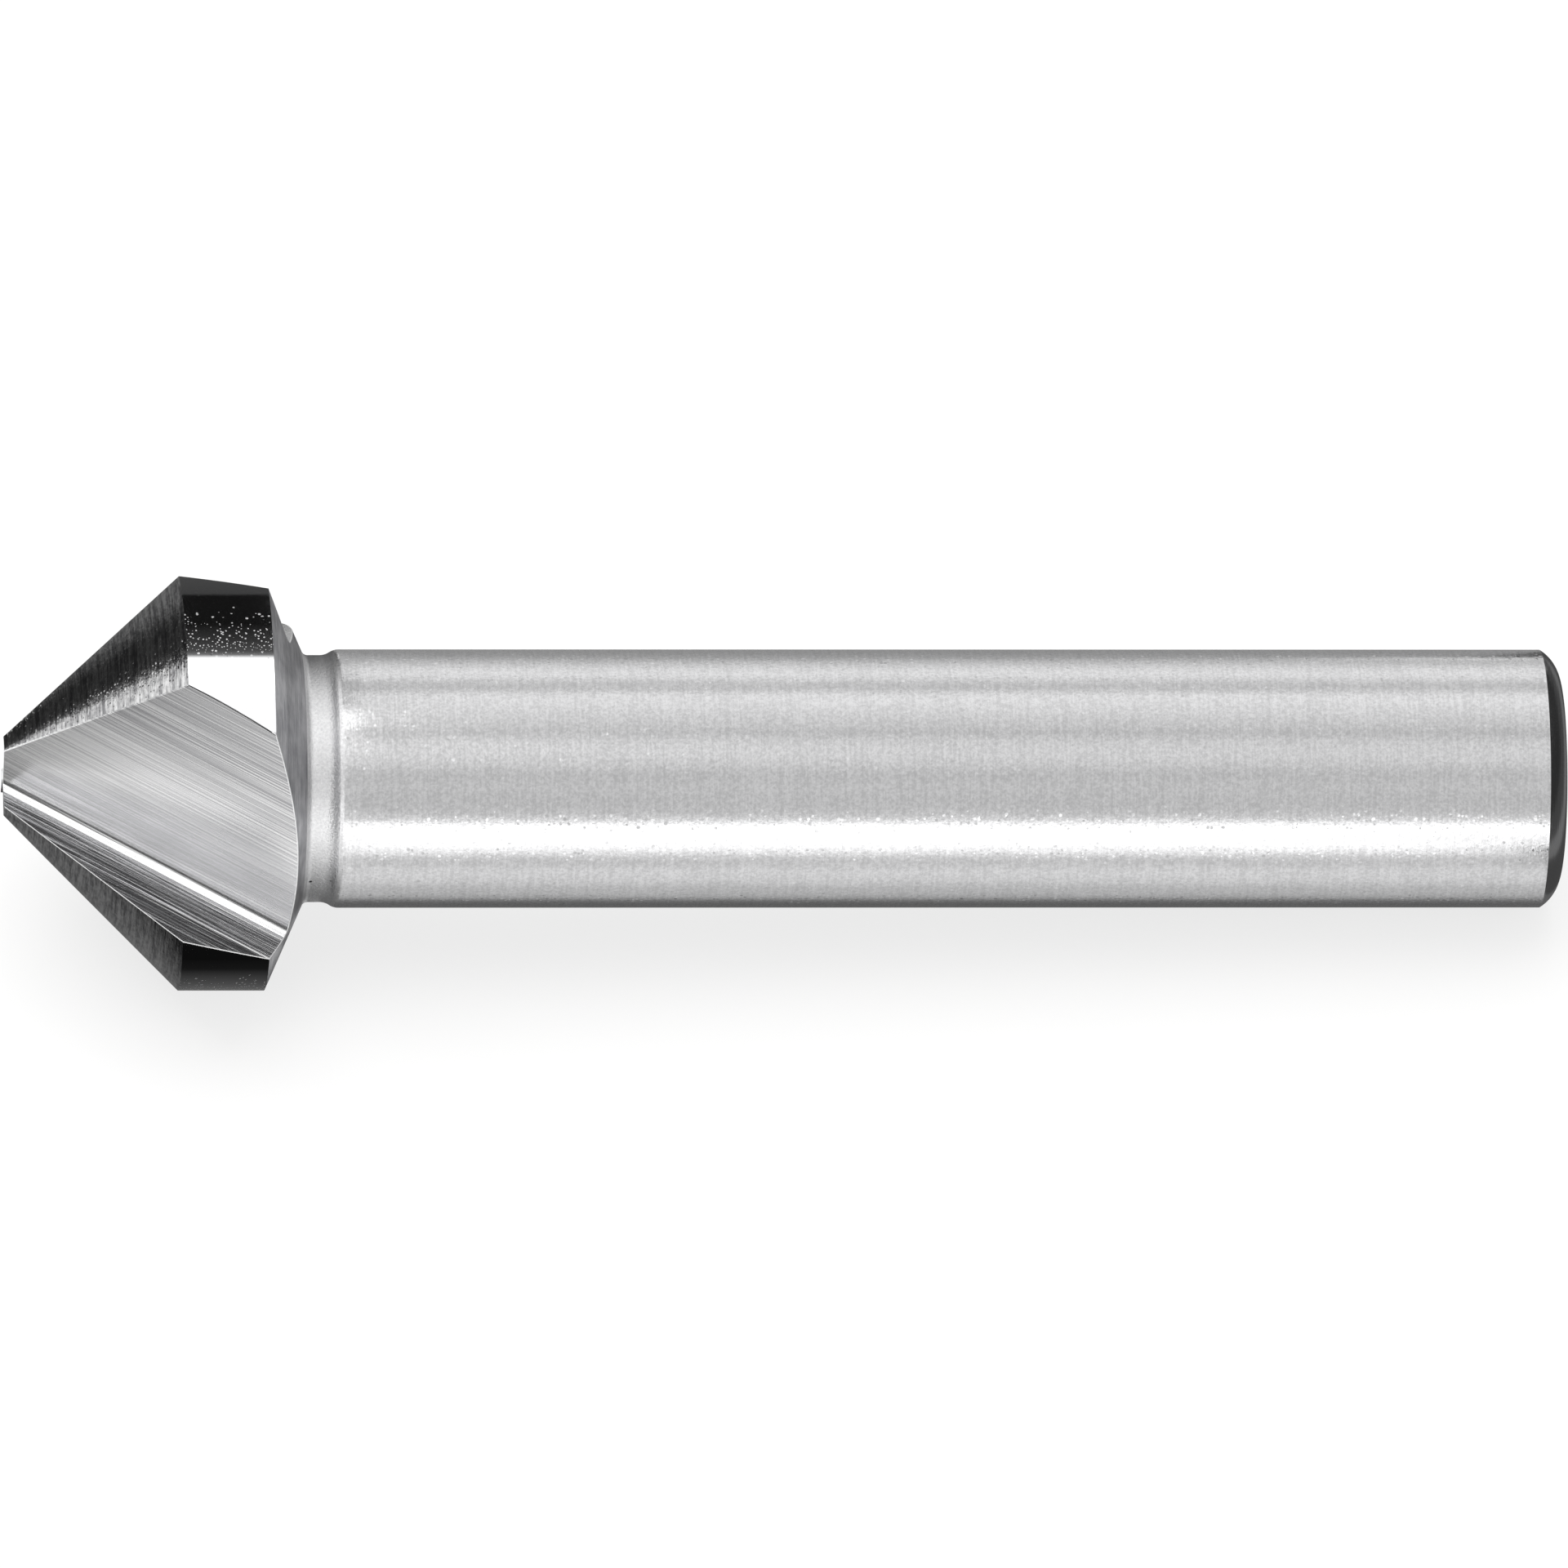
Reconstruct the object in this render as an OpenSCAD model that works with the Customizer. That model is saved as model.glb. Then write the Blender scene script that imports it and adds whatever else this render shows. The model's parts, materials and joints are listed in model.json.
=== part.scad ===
// Three-flute countersink bit with a straight shank, ground from one bar of high-speed steel.
// Millimetres, +Z up. The bit lies at rest on a flat surface at z = 0, with its tip towards -X:
// the two edges of the flute that faces down and the far end of the shank carry it.

/* [Head] */
// Largest diameter of the head, across the cutting corners
head_d = 16.6; // [14:0.1:20]
// Included angle of the cutting cone
cone_angle = 90; // [75:1:120]
// Diameter of the small flat at the tip
tip_d = 3.3; // [2.4:0.1:5]
// Length of the cylindrical land behind the cone
land_len = 3.4; // [2:0.1:6]
// Slope of the back face, measured from a plane square to the axis
back_slope = 24; // [10:1:35]

/* [Relief] */
// Offset of the centre that each tooth's cone is ground about, so that it falls away behind the cutting edge
cone_relief = 0.33; // [0.1:0.01:0.6]
// Offset of the centre that each tooth's land is ground about
land_relief = 0.15; // [0.05:0.01:0.4]

/* [Flutes] */
// Angle between the bottom corner of a flute and the axis of the bit
flute_rise = 30; // [26:0.5:34]
// Angle of the grinding wheel's profile, between a flute's floor and its rake face
wheel_angle = 78; // [72:1:84]
// Lean of the rake face from the plane through the flute's bottom corner and the axis
rake_lean = 37; // [32:1:42]
// Radius that the wheel leaves in the bottom corner of a flute
corner_round = 0.3; // [0.1:0.05:0.5]
// How far past the axis the bottom corner starts, at the tip
corner_start = 0.25; // [0.2:0.01:0.5]
// How far the bottom corner lies to the side of the axis
corner_side = 0.11; // [0:0.01:0.25]

/* [Neck] */
// Depth of the grinding groove between head and shank, below the shank's surface
neck_depth = 0.22; // [0.1:0.01:0.6]
// Length of the groove's floor
neck_len = 0.85; // [0.6:0.05:3]
// Radius between the groove's floor and the back face
neck_fillet = 0.25; // [0.1:0.05:0.4]
// Slope of the groove's far side, measured from the axis
neck_slope = 33; // [20:1:60]

/* [Shank] */
// Length of the whole bit
overall_len = 60.4; // [45:0.1:90]
// Diameter of the shank
shank_d = 10; // [8:0.1:12]
// Length of the crowned chamfer at the end of the shank
end_len = 0.75; // [0.4:0.05:0.9]
// How far the chamfer reaches in from the shank's surface
end_drop = 1.15; // [0.9:0.05:1.3]
// Radius of the chamfer's crown
end_round = 1.6; // [1.2:0.1:3]

/* [Hidden] */
$fn = 96;

// The angles of the flutes above leave a third of a turn for each tooth and its flute
teeth = 3;
pitch = 360 / teeth;
// How far cutters and overlaps reach beyond the surfaces that they make
spare = 1;
// Angle by which the sectors of neighbouring teeth overlap, inside the flutes
overlap = 10;
// How deep a rounded corner bites into the faces on both sides of it, so that they meet cleanly
bite = 0.002;
ground_steel = [0.66, 0.66, 0.68];
polished_steel = [0.80, 0.80, 0.81];

head_r = head_d / 2;
tip_r = tip_d / 2;
shank_r = shank_d / 2;
neck_r = shank_r - neck_depth;

// Stations along the axis, from the tip
cone_len = (head_r - tip_r) / tan(cone_angle / 2);
land_end = cone_len + land_len;
neck_start = land_end + (head_r - neck_r) * tan(back_slope);
neck_end = neck_start + neck_len;
shank_start = neck_end + neck_depth / tan(neck_slope);
chamfer_start = overall_len - end_len;

// The fillet touches the groove's floor and the back face at this distance from their corner
fillet_touch = neck_fillet * tan((90 - back_slope) / 2);
head_end = neck_start + fillet_touch;

// In a section square to the axis, the bottom corner of a flute moves away from the axis on a
// straight line. Vectors there are [radial, sideways], seen from the plane through that line.
floor_lean = rake_lean + wheel_angle;
function corner_at(x) = [corner_start + x * tan(flute_rise), corner_side];
function section_ray(lean) = [cos(lean) / cos(flute_rise), -sin(lean)];
function bearing(v) = atan2(v[1], v[0]);
function direction(angle) = [cos(angle), sin(angle)];

// Bearing at which a flute's face, at station x, comes out through a circle of radius r about the axis
function edge_bearing(x, lean, r) =
    let (p = corner_at(x), v = section_ray(lean), a = v * v, b = p * v, c = p * p - r * r)
    bearing(p + v * (-b + sqrt(b * b - a * c)) / a);

// The cutting corner is where the rake face meets the end of the cone, and the relief starts there.
// The heel is where the floor meets the end of the land, on the tooth before the flute.
lead = edge_bearing(cone_len, rake_lean, head_r);
full_heel = edge_bearing(land_end, floor_lean, head_r);
heel_r = head_r - land_relief * sin(full_heel + pitch - lead);
heel = edge_bearing(land_end, floor_lean, heel_r);

// At rest, the cutting corner and the heel of one flute and the end of the shank touch the surface.
// "down" is the bearing, in that flute's own frame, that then points straight down.
lead_arm = 1 / (chamfer_start - cone_len);
heel_arm = 1 / (chamfer_start - land_end);
balance = heel_arm * heel_r * direction(heel) - lead_arm * head_r * direction(lead);
down = bearing(balance) + acos(shank_r * (heel_arm - lead_arm) / norm(balance));
rest_roll = 180 - down;
rest_tilt = atan((head_r * cos(lead - down) - shank_r) * lead_arm);
rest_height = chamfer_start * sin(rest_tilt) + shank_r * cos(rest_tilt);

// Turns a profile of [radius, station] about the axis of the bit
module turned() {
    rotate([0, 90, 0]) rotate_extrude() children();
}

// Fills the corner between the groove's floor and the back face
module neck_fillet_profile() {
    corner = [neck_r, neck_start];
    centre = corner + [neck_fillet, fillet_touch];
    difference() {
        polygon([corner - [neck_fillet, neck_fillet],
            corner + fillet_touch * [cos(back_slope), -sin(back_slope)], centre, corner + [0, fillet_touch]]);
        translate(centre) circle(r = neck_fillet + bite);
    }
}

// The head before its cone, lands and flutes are ground: only its back face is finished
module head_blank() {
    blank_r = head_r + spare;
    turned() {
        polygon([[0, 0], [blank_r, 0], [blank_r, land_end - spare * tan(back_slope)],
            [neck_r, neck_start], [neck_r, head_end], [0, head_end]]);
        neck_fillet_profile();
    }
}

// Cone and land of one tooth, each ground about a centre to the side of its cutting edge, which is on top
module relieved_form() {
    length = head_end + spare;
    intersection() {
        translate([0, cone_relief, 0])
            rotate([0, 90, 0])
                cylinder(h = length, r1 = tip_r, r2 = tip_r + length * tan(cone_angle / 2));
        translate([-spare, land_relief, 0])
            rotate([0, 90, 0])
                cylinder(h = length + spare, r = head_r);
    }
}

// The sector of the head that one tooth is ground from. Its borders lie in the flutes beside it.
module tooth_sector() {
    middle = (heel + pitch - lead) / 2;
    half = (pitch + overlap) / 2;
    reach = 2 * head_d;
    rotate([0, 90, 0])
        linear_extrude(height = head_end + spare)
            polygon([[0, 0], -reach * direction(middle - half), -2 * reach * direction(middle),
                -reach * direction(middle + half)]);
}

// Profile of the grinding wheel: the floor and the rake face, rounded where they meet
module wheel_profile(size) {
    floor_way = direction(180 - floor_lean);
    rake_way = direction(180 - rake_lean);
    touch = corner_round / tan(wheel_angle / 2);
    centre = corner_round / sin(wheel_angle / 2) * direction(180 - rake_lean - wheel_angle / 2);
    polygon([touch * floor_way, size * floor_way, size * (floor_way + rake_way), size * rake_way,
        touch * rake_way, centre]);
    translate(centre) circle(r = corner_round + bite);
}

// One straight pass of the wheel, out of the tip and away from the axis
module flute_cut() {
    start = -3 * spare;
    translate([start, -corner_side, corner_start + start * tan(flute_rise)])
        rotate([0, 90 - flute_rise, 0])
            linear_extrude(height = (neck_end - start) / cos(flute_rise))
                wheel_profile(head_d);
}

module cutting_head() {
    color(ground_steel)
    difference() {
        intersection() {
            head_blank();
            union() {
                for (i = [0 : teeth - 1])
                    rotate([lead + i * pitch, 0, 0])
                        intersection() {
                            relieved_form();
                            tooth_sector();
                        }
            }
        }
        for (i = [0 : teeth - 1])
            rotate([i * pitch, 0, 0]) flute_cut();
    }
}

module neck() {
    color(polished_steel)
    turned()
        polygon([[0, head_end], [neck_r, head_end], [neck_r, neck_end], [shank_r, shank_start], [0, shank_start]]);
}

// The crown is part of a circle through the two edges of the chamfer
module end_profile() {
    face_r = shank_r - end_drop;
    half_chord = [-end_drop, end_len] / 2;
    to_centre = sqrt(end_round * end_round - half_chord * half_chord) / norm(half_chord);
    intersection() {
        translate([shank_r, 0] + half_chord + to_centre * [-half_chord[1], half_chord[0]])
            circle(r = end_round);
        translate([face_r, 0]) square([end_drop, end_len]);
    }
    square([face_r, end_len]);
}

module shank() {
    color(polished_steel)
    turned() {
        translate([0, shank_start]) square([shank_r, chamfer_start - shank_start]);
        translate([0, chamfer_start]) end_profile();
    }
}

module countersink() {
    translate([-overall_len * cos(rest_tilt) / 2, 0, rest_height])
        rotate([0, rest_tilt, 0])
            rotate([rest_roll, 0, 0]) {
                cutting_head();
                neck();
                shank();
            }
}

countersink();
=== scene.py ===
# %% [markdown]
# # A countersink bit, ground from one bar of high-speed steel
# The bit lies on a pale surface with its tip to the left. It is one solid piece, so there is one
# mesh, but its faces were made in different ways and look different: a centreless-ground shank, a
# turned neck, cones and lands ground about the axis, and flutes ground by a wheel that ran lengthways.
# The CAD frame says where the bit lies and how large it is. Everything below is worked out from it.

# %% Load the frame
import json
import math

import bmesh
import bpy
from mathutils import Matrix, Vector


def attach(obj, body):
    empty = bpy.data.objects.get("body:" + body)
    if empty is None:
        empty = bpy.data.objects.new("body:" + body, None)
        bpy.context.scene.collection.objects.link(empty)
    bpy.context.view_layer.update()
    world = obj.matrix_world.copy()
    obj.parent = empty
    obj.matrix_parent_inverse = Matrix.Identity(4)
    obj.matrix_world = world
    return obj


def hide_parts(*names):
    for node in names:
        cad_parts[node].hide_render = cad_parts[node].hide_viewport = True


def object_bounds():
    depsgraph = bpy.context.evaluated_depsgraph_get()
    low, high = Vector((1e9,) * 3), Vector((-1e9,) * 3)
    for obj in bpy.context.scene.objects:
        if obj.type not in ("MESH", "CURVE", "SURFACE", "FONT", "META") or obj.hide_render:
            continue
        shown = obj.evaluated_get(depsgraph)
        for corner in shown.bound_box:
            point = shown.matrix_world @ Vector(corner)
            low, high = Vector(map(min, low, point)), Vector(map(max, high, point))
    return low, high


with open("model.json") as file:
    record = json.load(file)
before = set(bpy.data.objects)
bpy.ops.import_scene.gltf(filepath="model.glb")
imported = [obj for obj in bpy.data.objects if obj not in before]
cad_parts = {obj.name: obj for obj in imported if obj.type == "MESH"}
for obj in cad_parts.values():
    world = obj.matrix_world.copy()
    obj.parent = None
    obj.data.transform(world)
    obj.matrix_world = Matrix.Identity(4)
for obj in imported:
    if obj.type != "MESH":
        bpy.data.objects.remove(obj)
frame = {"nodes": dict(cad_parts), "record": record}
cad_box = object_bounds()
MM = 0.001
print("CAD box in mm:", [[round(c / MM, 3) for c in corner] for corner in cad_box])

# %% [markdown]
# ## Where the bit lies
# The bit rests on two edges of its head and on the far end of its shank, so its axis falls a little
# towards that end. The record's mount gives the axis. The tip, the length, the largest radius and the
# bearing of a cutting corner are measured on the CAD solid. Bearings turn about the axis from
# straight up towards the viewer's side, which is a right-handed turn about +X.

# %% Measure the solid
mount = next(m for m in frame["record"]["mounts"] if m["name"] == "shank")
axis = Vector(mount["axis"]).normalized()
side = Vector((0, 1, 0))
up = axis.cross(side)
SHANK_R = mount["dims"]["r_mm"]

on_axis = Vector(mount["pos_m"])
points = [v.co - on_axis for v in frame["nodes"]["countersink"].data.vertices]


def station_of(p):
    return p.dot(axis) / MM


def radius_of(p):
    return (p - axis * p.dot(axis)).length / MM


def bearing_of(p):
    return math.degrees(math.atan2(-p.dot(side), p.dot(up)))


first = min(map(station_of, points))
TIP = on_axis + axis * first * MM
LENGTH = max(map(station_of, points)) - first
HEAD_R = max(map(radius_of, points))
corner_point = min((p for p in points if radius_of(p) > HEAD_R - 0.002), key=station_of)
LEAD = bearing_of(corner_point)
TEETH = 3
PITCH = 360 / TEETH
print(f"length {LENGTH:.3f} mm, head radius {HEAD_R:.3f} mm")
print(f"a cutting corner lies at station {station_of(corner_point) - first:.3f} mm")
print(f"the cutting corners lie {PITCH:.0f} degrees apart, one of them at bearing {LEAD:.2f}")

# %% [markdown]
# ## The rest of its sizes
# These are the sizes of the CAD source that can't be read off a few points. They are in millimetres
# and degrees, along the axis from the tip and outwards from the axis. The whole bit is modelled in
# that frame, where the tip is the origin, and is put in its place at the end.

# %% Sizes of the ground forms
TIP_R = 1.65
CONE_ANGLE = 90
LAND_LEN = 3.4
BACK_SLOPE = 24
CONE_RELIEF = 0.33
LAND_RELIEF = 0.15
FLUTE_RISE = 30
WHEEL_ANGLE = 78
RAKE_LEAN = 37
CORNER_ROUND = 0.3
CORNER_START = 0.25
CORNER_SIDE = 0.11
NECK_DEPTH = 0.22
NECK_LEN = 0.85
NECK_FILLET = 0.25
NECK_SLOPE = 33
END_LEN = 0.75
END_DROP = 1.15
END_ROUND = 1.6
LEAD_IN_FLUTE = -16.85   # bearing of the cutting corner, in the frame of its own flute

CONE_SLOPE = math.tan(math.radians(CONE_ANGLE / 2))
CONE_LEN = (HEAD_R - TIP_R) / CONE_SLOPE
LAND_END = CONE_LEN + LAND_LEN
BACK_TAN = math.tan(math.radians(BACK_SLOPE))
NECK_R = SHANK_R - NECK_DEPTH
NECK_START = LAND_END + (HEAD_R - NECK_R) * BACK_TAN
NECK_END = NECK_START + NECK_LEN
SHANK_START = NECK_END + NECK_DEPTH / math.tan(math.radians(NECK_SLOPE))
CHAMFER_START = LENGTH - END_LEN
FIRST_FLUTE = LEAD - LEAD_IN_FLUTE
print(f"cone {CONE_LEN:.2f} mm long, neck from {NECK_START:.2f}, shank from {SHANK_START:.2f}")

# Regions of the skin and of the flutes, in the order of the material slots
REGIONS = ["shank", "end", "neck", "back", "land", "cone", "tip", "floor", "corner", "rake", "edge"]
REGION = {name: i for i, name in enumerate(REGIONS)}

# %% [markdown]
# ## The turned blank
# A lathe makes a round part from a profile, and a spin does the same: the profile is a chain of
# vertices in the plane of the axis, which goes once round it. The chain is cut finer where the form
# will be ground later, because a cut through long thin faces shades badly. The crowned chamfer at
# the shank's end is itself a small spin of one vertex, about the centre of the circle through its two
# edges, and the neck's corners are rounded by a vertex bevel.


# %% Helpers for the profile
SLOPE_ROUND = 0.18   # how far the rounding of the neck's far corners reaches, in mm
SHANK_ROUND = 0.16


def chain_to(bm, start, station, radius, parts=1):
    """Adds one straight stretch to the profile, in equal parts, and returns its last vertex."""
    origin, end = start.co.copy(), Vector((station, 0, radius))
    for i in range(parts):
        vertex = bm.verts.new(origin.lerp(end, (i + 1) / parts))
        bm.edges.new((start, vertex))
        start = vertex
    return start


def bevel_corner(bm, vertex, offset, segments):
    bmesh.ops.bevel(bm, geom=[vertex], offset=offset, segments=segments, profile=0.5,
                    affect="VERTICES", material=-1)


# %% Profile of the blank
blank = bmesh.new()
at_tip = blank.verts.new((0, 0, 0))
at_rim = chain_to(blank, at_tip, 0, TIP_R)
at_cone_end = chain_to(blank, at_rim, CONE_LEN, HEAD_R, 28)
at_land_end = chain_to(blank, at_cone_end, LAND_END, HEAD_R, 14)
at_neck = chain_to(blank, at_land_end, NECK_START, NECK_R, 13)
at_slope = chain_to(blank, at_neck, NECK_END, NECK_R)
at_shank = chain_to(blank, at_slope, SHANK_START, SHANK_R)
at_round = chain_to(blank, at_shank, CHAMFER_START, SHANK_R, 32)
bevel_corner(blank, at_neck, NECK_FILLET * math.tan(math.radians((90 - BACK_SLOPE) / 2)), 5)
bevel_corner(blank, at_slope, SLOPE_ROUND, 5)
bevel_corner(blank, at_shank, SHANK_ROUND, 5)

half_chord = Vector((END_LEN, 0, -END_DROP)) / 2
inwards = Vector((-END_DROP, 0, -END_LEN)).normalized()
crown_centre = at_round.co + half_chord + inwards * math.sqrt(END_ROUND ** 2 - half_chord.length_squared)
arc = bmesh.ops.spin(blank, geom=[at_round], cent=crown_centre, axis=(0, 1, 0),
                     angle=2 * math.asin(half_chord.length / END_ROUND), steps=14)
last = next(g for g in arc["geom_last"] if isinstance(g, bmesh.types.BMVert))
chain_to(blank, last, LENGTH, 0, 3)
print(f"the profile has {len(blank.verts)} vertices")
print(f"its crown ends at station {last.co.x:.2f}, radius {last.co.z:.2f}")

# %% Spin the profile
STEPS = 240
bmesh.ops.spin(blank, geom=blank.verts[:] + blank.edges[:], cent=(0, 0, 0), axis=(1, 0, 0),
               angle=math.tau, steps=STEPS, use_merge=True)
bmesh.ops.remove_doubles(blank, verts=blank.verts, dist=1e-5)


def skin_region(station, radius):
    """The region of the skin that a face belongs to, from where its middle is on the nominal blank."""
    if station < 0.001:
        return "tip"
    if station < CONE_LEN:
        return "cone"
    if station < LAND_END:
        return "land"
    if station < NECK_START and radius > NECK_R + NECK_FILLET:
        return "back"
    if station < SHANK_START:
        return "neck"
    return "shank" if station < CHAMFER_START else "end"


for face in blank.faces:
    middle = face.calc_center_median()
    face.material_index = REGION[skin_region(middle.x, math.hypot(middle.y, middle.z))]
print(f"the blank has {len(blank.faces)} faces")

# %% [markdown]
# ## Relief
# A tooth rubs unless it falls away behind its cutting edge. The cone and the land of each tooth are
# ground about a centre a little to the side of the axis, so the radius shrinks from the edge to the
# heel. The skin's vertices are moved to that form, which keeps the even grid of the spin.


# %% Radii of the relieved form
def off_centre(radius, relief, angle):
    """Radius, from the axis, of a circle whose centre is off the axis, at an angle behind the edge."""
    a = math.radians(angle)
    return math.sqrt(radius ** 2 - (relief * math.cos(a)) ** 2) - relief * math.sin(a)


def relieved(station, angle):
    """Station and radius, after grinding, of a point of the nominal cone or land."""
    land_r = off_centre(HEAD_R, LAND_RELIEF, angle)
    a = math.radians(angle)
    cone_r = math.hypot(land_r + CONE_RELIEF * math.sin(a), CONE_RELIEF * math.cos(a))
    cone_end = (cone_r - TIP_R) / CONE_SLOPE
    if station <= CONE_LEN + 1e-4:
        station *= cone_end / CONE_LEN
        return station, off_centre(TIP_R + station * CONE_SLOPE, CONE_RELIEF, angle)
    rim = LAND_END + (HEAD_R - land_r) * BACK_TAN
    return cone_end + (rim - cone_end) * (station - CONE_LEN) / LAND_LEN, land_r


# %% Grind the skin
BEFORE_EDGE = 30   # degrees that the relieved form starts before the cutting corner, inside the flute
for v in blank.verts:
    station, radius = v.co.x, math.hypot(v.co.y, v.co.z)
    nominal = min(TIP_R + station * CONE_SLOPE, HEAD_R)
    if station < LAND_END + 1e-4 and radius > nominal - 1e-3:
        bearing = math.degrees(math.atan2(-v.co.y, v.co.z))
        angle = (bearing - LEAD + BEFORE_EDGE) % PITCH - BEFORE_EDGE
        station, new_radius = relieved(station, angle)
        v.co = (station, v.co.y * new_radius / radius, v.co.z * new_radius / radius)

bmesh.ops.recalc_face_normals(blank, faces=blank.faces)
fall = HEAD_R - off_centre(HEAD_R, LAND_RELIEF, PITCH / 2)
print(f"half a pitch behind its edge, a land has fallen by {fall:.3f} mm")

# %% [markdown]
# ## The flutes
# Each flute is one straight pass of a grinding wheel, whose rim has two sides: one leaves the wide
# floor, the other the narrow rake face, and the rounded corner between them leaves a fillet. So the
# cutter is the wheel's profile, swept along its path, and a Boolean takes it away from the blank. The
# cutter's faces carry the same slots as the blank, so that each new face knows what made it.


# %% The wheel's profile and its path
def direction(angle):
    return Vector((math.cos(math.radians(angle)), math.sin(math.radians(angle)), 0))


FLOOR_WAY = direction(180 - RAKE_LEAN - WHEEL_ANGLE)
RAKE_WAY = direction(180 - RAKE_LEAN)
PASS_START = -3


def wheel_place(roll):
    """From the wheel's profile, with its path along Z, to the flute whose corner lies at this bearing."""
    height = CORNER_START + PASS_START * math.tan(math.radians(FLUTE_RISE))
    turned = Matrix.Rotation(math.radians(roll), 4, "X")
    shifted = Matrix.Translation((PASS_START, -CORNER_SIDE, height))
    return turned @ shifted @ Matrix.Rotation(math.radians(90 - FLUTE_RISE), 4, "Y")


places = [wheel_place(FIRST_FLUTE + i * PITCH) for i in range(TEETH)]

# %% [markdown]
# A cut that passes very close to a vertex leaves a splinter of a face there, which shades badly and
# stops a bevel. So the vertices of the skin that lie next to a cut are first moved away from it, to
# the side where they are. They slide along the skin, which is as good as flat over so short a way.

# %% Clear the way for the cuts
CLEAR = 0.06   # distance from the cut, in mm
into_flute = {"floor": FLOOR_WAY.cross(Vector((0, 0, -1))), "rake": RAKE_WAY.cross(Vector((0, 0, 1)))}
blank.normal_update()
moved = 0
for v in blank.verts:
    if v.co.x > NECK_START:
        continue
    for place in places:
        spot = place.inverted() @ v.co
        for face_name, other_name in (("floor", "rake"), ("rake", "floor")):
            gap = spot.dot(into_flute[face_name])
            if abs(gap) < CLEAR and spot.dot(into_flute[other_name]) > -CLEAR:
                normal = place.to_3x3() @ into_flute[face_name]
                along_skin = normal - v.normal * normal.dot(v.normal)
                if v.co.x < 1e-4:
                    along_skin.x = 0
                v.co += along_skin * (math.copysign(CLEAR, gap) - gap)
                moved += 1
bmesh.ops.remove_doubles(blank, verts=blank.verts, dist=0.005)
bmesh.ops.dissolve_degenerate(blank, dist=1e-4, edges=blank.edges)
print(f"{moved} vertices were moved; open edges: {sum(not e.is_manifold for e in blank.edges)}")

body_mesh = bpy.data.meshes.new("countersink_blank")
blank.to_mesh(body_mesh)
blank.free()
body = bpy.data.objects.new("countersink_blank", body_mesh)
bpy.context.scene.collection.objects.link(body)
for name in REGIONS:
    body.data.materials.append(None)


# %% Sweep the wheel
def flute_cutter(place):
    """The space that the wheel sweeps in one pass."""
    size = 2 * HEAD_R
    bm = bmesh.new()
    ring = [bm.verts.new(size * p) for p in (Vector(), FLOOR_WAY, FLOOR_WAY + RAKE_WAY, RAKE_WAY)]
    bm.faces.new(ring)
    bevel_corner(bm, ring[0], CORNER_ROUND / math.tan(math.radians(WHEEL_ANGLE / 2)), 12)
    swept = bmesh.ops.extrude_face_region(bm, geom=bm.faces[:])
    far = [g for g in swept["geom"] if isinstance(g, bmesh.types.BMVert)]
    way = (NECK_END - PASS_START) / math.cos(math.radians(FLUTE_RISE))
    bmesh.ops.translate(bm, verts=far, vec=(0, 0, way))
    bmesh.ops.recalc_face_normals(bm, faces=bm.faces)
    for face in bm.faces:
        middle = face.calc_center_median()
        on = [name for name in into_flute if abs(middle.dot(into_flute[name])) < 1e-4]
        face.material_index = REGION[on[0] if on else "corner"]
    bmesh.ops.transform(bm, matrix=place, verts=bm.verts)
    mesh = bpy.data.meshes.new("flute_cutter")
    bm.to_mesh(mesh)
    bm.free()
    return bpy.data.objects.new("flute_cutter", mesh)


# %% Cut the flutes
for place in places:
    cutter = flute_cutter(place)
    for name in REGIONS:
        cutter.data.materials.append(None)
    bpy.context.scene.collection.objects.link(cutter)
    cut = body.modifiers.new("flute", "BOOLEAN")
    cut.operation = "DIFFERENCE"
    cut.solver = "EXACT"
    cut.material_mode = "INDEX"
    cut.object = cutter
cut_mesh = bpy.data.meshes.new_from_object(body.evaluated_get(bpy.context.evaluated_depsgraph_get()))
for cutter in [m.object for m in body.modifiers]:
    bpy.data.objects.remove(cutter)
body.modifiers.clear()
print(f"with its flutes the bit has {len(cut_mesh.polygons)} faces")

# %% [markdown]
# ## Break the edges
# Ground edges are never perfectly sharp: a very small bevel catches the light as a thin bright line,
# and along a cutting edge it stands for the burr that grinding leaves. The Boolean's result is
# merged first, because vertices that were moved next to a cut can lie twice at the same place.

# %% Bevel the edges between skin and flutes
EDGE_WIDTH = 0.045   # mm
bm = bmesh.new()
bm.from_mesh(cut_mesh)
bmesh.ops.remove_doubles(bm, verts=bm.verts, dist=2e-3)
bmesh.ops.dissolve_degenerate(bm, dist=1e-4, edges=bm.edges)
SKIN = {REGION[name] for name in ("cone", "land", "back")}
FLUTE = {REGION[name] for name in ("floor", "corner", "rake")}


def is_cut(edge):
    """Whether an edge has the skin on one side and a flute on the other."""
    found = {face.material_index for face in edge.link_faces}
    return len(found & SKIN) == 1 and len(found & FLUTE) == 1


bmesh.ops.collapse(bm, edges=[e for e in bm.edges if is_cut(e) and e.calc_length() < EDGE_WIDTH])
cuts = [e for e in bm.edges if is_cut(e)]
print(f"{len(cuts)} edges to bevel, {sum(e.calc_length() for e in cuts):.1f} mm")
bmesh.ops.bevel(bm, geom=cuts, offset=EDGE_WIDTH, offset_type="OFFSET", segments=2, profile=0.5,
                affect="EDGES", material=REGION["edge"], clamp_overlap=True)

# %% [markdown]
# ## Shading
# Each region is shaded smooth by itself, and the borders between regions are sharp, so no face of
# one finish tilts the light on its neighbour. That matters most on the floor of a flute, which is one
# large flat face: a bevel that shared its shading would tilt the light all over it.

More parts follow.
